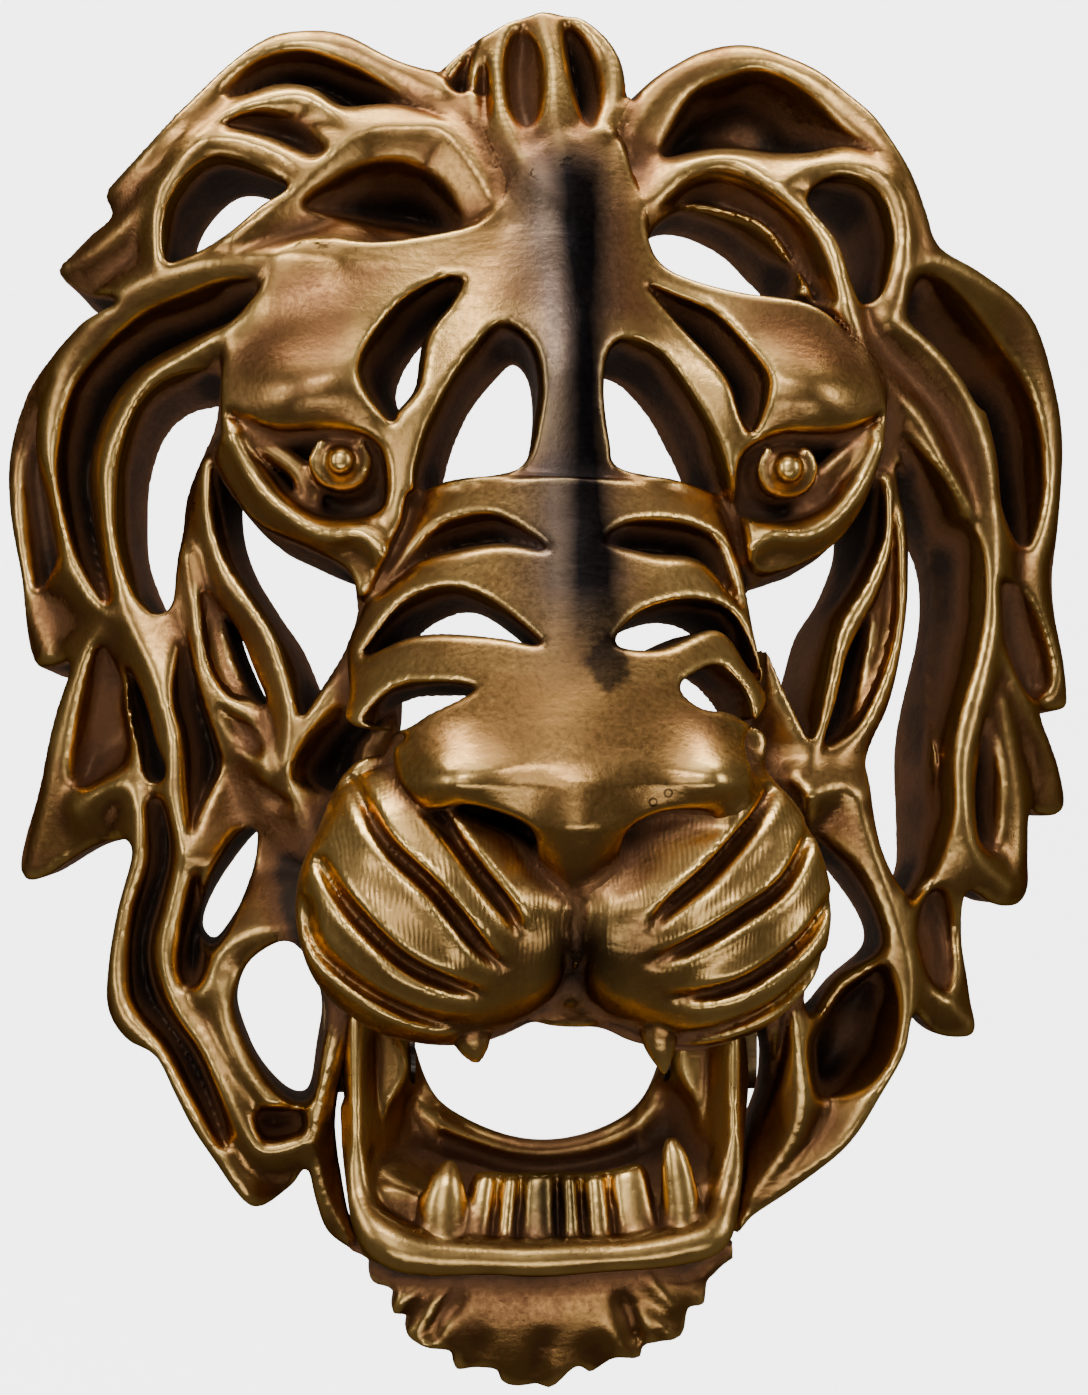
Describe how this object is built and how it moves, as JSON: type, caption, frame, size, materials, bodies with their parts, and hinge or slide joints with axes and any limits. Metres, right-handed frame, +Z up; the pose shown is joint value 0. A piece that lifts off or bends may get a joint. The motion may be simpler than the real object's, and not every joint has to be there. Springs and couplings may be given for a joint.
{
  "type": "door knocker",
  "caption": "Openwork lion-head door knocker in antique bronze; the toothed lower jaw with its chin tuft swings on side pivots and strikes a plate on the door.",
  "frame": {"origin": "middle between the two door bolts, on the face of the door", "axes": "+Z up, +X to the right of a person facing the knocker, +Y into the door, so the face looks toward -Y"},
  "size_m": [0.2277, 0.108, 0.2795],
  "materials": {
    "antique_bronze": "satin antique bronze, rubbed gold on the high edges and dark brown patina in the recesses",
    "raw_casting": "unpolished casting with a dull brown patina",
    "worn_brass": "turned, with the striking face worn bright",
    "bearing_bronze": "plain machined bearing bronze",
    "dark_steel": "blackened turned steel"
  },
  "bodies": {
    "head": {"face_casting": "antique_bronze", "eyes": "antique_bronze", "nose_bridge": "antique_bronze", "whisker_pad_left": "antique_bronze", "whisker_pad_right": "antique_bronze", "upper_fangs": "antique_bronze", "crest": "antique_bronze", "cheek_strap_left": "antique_bronze", "cheek_outer_left": "antique_bronze", "cheek_inner_left": "antique_bronze", "cheek_strap_right": "antique_bronze", "cheek_outer_right": "antique_bronze", "cheek_inner_right": "antique_bronze", "forelock_left": "antique_bronze", "forelock_right": "antique_bronze", "mane_arch_left": "antique_bronze", "mane_arch_inner_left": "antique_bronze", "mane_arch_right": "antique_bronze", "mane_loop_left": "antique_bronze", "mane_loop_right": "antique_bronze", "temple_left": "antique_bronze", "mane_outer_left": "antique_bronze", "mane_inner_left": "antique_bronze", "mane_tip_high_left": "antique_bronze", "mane_edge_left": "antique_bronze", "mane_tip_mid_left": "antique_bronze", "mane_fork_left": "antique_bronze", "cheek_hook_left": "antique_bronze", "throat_outer_left": "antique_bronze", "throat_left": "antique_bronze", "mane_outer_right": "antique_bronze", "mane_inner_right": "antique_bronze", "mane_tip_mid_right": "antique_bronze", "mane_tip_low_right": "antique_bronze", "mane_throat_right": "antique_bronze", "throat_right": "antique_bronze", "mounting_posts": "raw_casting", "hinge_lugs": "raw_casting", "pivot_screws": "dark_steel", "pivot_washers": "dark_steel", "strike_plate": "worn_brass"},
    "jaw": {"jaw_arm_left": "antique_bronze", "jaw_arm_right": "antique_bronze", "jaw_bushes": "bearing_bronze", "lip_bar": "antique_bronze", "mouth_floor": "antique_bronze", "lower_teeth": "antique_bronze", "chin_tuft": "antique_bronze", "striker_button": "worn_brass"}
  },
  "joints": [
    {"name": "jaw_swing", "type": "hinge", "parent": "head", "child": "jaw", "pos_m": [-0.003, -0.044, -0.097], "axis": [-1, 0, 0], "range_deg": [0, 35]}
  ]
}
